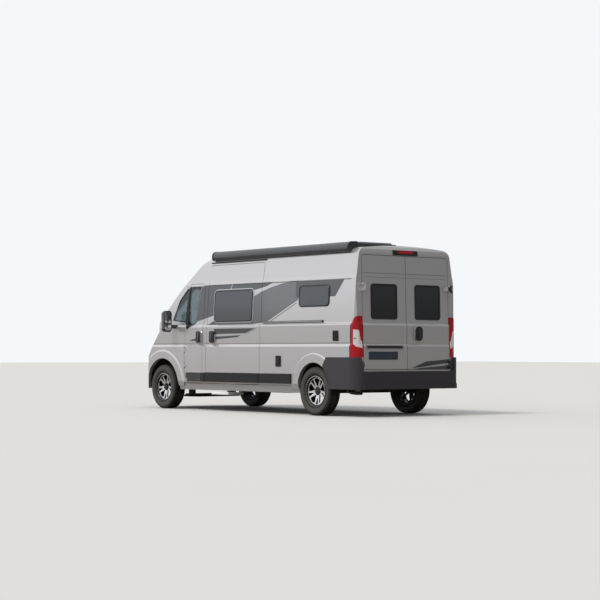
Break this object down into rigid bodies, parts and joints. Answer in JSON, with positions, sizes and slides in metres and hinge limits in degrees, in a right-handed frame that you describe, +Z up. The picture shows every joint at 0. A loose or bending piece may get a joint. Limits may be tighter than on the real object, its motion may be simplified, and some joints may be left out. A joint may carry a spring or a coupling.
{
  "type": "camper van",
  "caption": "Panel-van camper on a front-drive chassis, with a sliding side door, hinged cab and rear doors, side awning, roof light and road wheels that steer and roll.",
  "frame": {"origin": "on the ground under mid-length and the centre line", "axes": "+X forward, +Y to the van's left, +Z up"},
  "size_m": [5.9978, 2.508, 2.6103],
  "materials": {
    "body_paint": "metallic silver clear-coated",
    "dark_paint": "anthracite satin",
    "black_plastic": "grained black",
    "cab_glass": "green-tinted safety glass",
    "dark_glass": "dark privacy glass",
    "acrylic": "smoked acrylic",
    "lamp_red": "clear red lens",
    "lamp_clear": "clear lens",
    "steel_black": "black chassis paint",
    "exhaust_steel": "dull steel",
    "engine_iron": "cast",
    "step_aluminium": "anodised",
    "floor_ply": "lined floor",
    "furniture_board": "faced board",
    "seat_cloth": "woven cloth",
    "tyre_rubber": "matt",
    "wheel_alloy": "machined face, dark pockets"
  },
  "bodies": {
    "body": {"floor": "floor_ply", "side_left": "body_paint", "side_right": "body_paint", "roof": "body_paint", "front_wings": "body_paint", "front_bumper": "body_paint", "grille": "black_plastic", "headlamps": "lamp_clear", "cab_glazing": "cab_glass", "rear_bumper": "dark_paint", "rear_lamps": "lamp_red", "sliding_door": "body_paint", "camper_windows": "acrylic", "side_mouldings": "black_plastic", "awning": "dark_paint", "roof_light_frame": "black_plastic", "step": "step_aluminium", "arch_liners": "black_plastic", "cab_seats": "seat_cloth", "dashboard": "black_plastic", "furniture": "furniture_board", "engine": "engine_iron", "chassis": "steel_black", "exhaust": "exhaust_steel", "tanks": "steel_black", "rear_axle": "steel_black", "mirror_left": "black_plastic", "mirror_right": "black_plastic"},
    "knuckle_left": {"knuckle_left": "steel_black"},
    "knuckle_right": {"knuckle_right": "steel_black"},
    "wheel_front_left": {"tyre_front_left": "tyre_rubber", "rim_front_left": "wheel_alloy"},
    "wheel_front_right": {"tyre_front_right": "tyre_rubber", "rim_front_right": "wheel_alloy"},
    "wheel_rear_left": {"tyre_rear_left": "tyre_rubber", "rim_rear_left": "wheel_alloy"},
    "wheel_rear_right": {"tyre_rear_right": "tyre_rubber", "rim_rear_right": "wheel_alloy"},
    "cab_door_left": {"cab_door_left": "body_paint", "cab_glass_left": "cab_glass"},
    "cab_door_right": {"cab_door_right": "body_paint", "cab_glass_right": "cab_glass"},
    "rear_door_left": {"rear_door_left": "body_paint", "rear_glass_left": "dark_glass"},
    "rear_door_right": {"rear_door_right": "body_paint", "rear_glass_right": "dark_glass"},
    "bonnet": {"bonnet": "body_paint"},
    "roof_light_lid": {"roof_light_lid": "acrylic"},
    "steering_wheel": {"steering_wheel": "black_plastic"}
  },
  "joints": [
    {"name": "steer_left", "type": "hinge", "parent": "body", "child": "knuckle_left", "pos_m": [2.051, 0.83, 0.364], "axis": [0, 0, 1], "range_deg": [-35, 35]},
    {"name": "steer_right", "type": "hinge", "parent": "body", "child": "knuckle_right", "pos_m": [2.051, -0.83, 0.364], "axis": [0, 0, 1], "range_deg": [-35, 35]},
    {"name": "steering_wheel_turn", "type": "hinge", "parent": "body", "child": "steering_wheel", "pos_m": [1.499, -0.43, 1.18], "axis": [-0.8, 0, 0.6], "range_deg": [-545, 545]},
    {"name": "spin_front_left", "type": "hinge", "parent": "knuckle_left", "child": "wheel_front_left", "pos_m": [2.051, 0.905, 0.364], "axis": [0, 1, 0], "continuous": true},
    {"name": "spin_front_right", "type": "hinge", "parent": "knuckle_right", "child": "wheel_front_right", "pos_m": [2.051, -0.905, 0.364], "axis": [0, 1, 0], "continuous": true},
    {"name": "spin_rear_left", "type": "hinge", "parent": "body", "child": "wheel_rear_left", "pos_m": [-1.984, 0.895, 0.364], "axis": [0, 1, 0], "continuous": true},
    {"name": "spin_rear_right", "type": "hinge", "parent": "body", "child": "wheel_rear_right", "pos_m": [-1.984, -0.895, 0.364], "axis": [0, 1, 0], "continuous": true},
    {"name": "cab_door_left_swing", "type": "hinge", "parent": "body", "child": "cab_door_left", "pos_m": [1.4165, 1.028, 0.97], "axis": [0, 0, -1], "range_deg": [0, 65]},
    {"name": "rear_door_left_swing", "type": "hinge", "parent": "body", "child": "rear_door_left", "pos_m": [-2.969, 0.8505, 1.328], "axis": [0, 0, -1], "range_deg": [0, 180]},
    {"name": "cab_door_right_swing", "type": "hinge", "parent": "body", "child": "cab_door_right", "pos_m": [1.4165, -1.028, 0.97], "axis": [0, 0, 1], "range_deg": [0, 65]},
    {"name": "rear_door_right_swing", "type": "hinge", "parent": "body", "child": "rear_door_right", "pos_m": [-2.969, -0.8505, 1.328], "axis": [0, 0, 1], "range_deg": [0, 180]},
    {"name": "bonnet_lift", "type": "hinge", "parent": "body", "child": "bonnet", "pos_m": [2.488, 0, 1.306], "axis": [0, -1, 0], "range_deg": [0, 50]},
    {"name": "roof_light_lift", "type": "hinge", "parent": "body", "child": "roof_light_lid", "pos_m": [-1.413, 0, 2.574], "axis": [0, 1, 0], "range_deg": [0, 60]}
  ],
  "couplings": [
    {"joint": "steer_right", "follows": "steer_left", "ratio": 1},
    {"joint": "steering_wheel_turn", "follows": "steer_left", "ratio": 15.4}
  ]
}
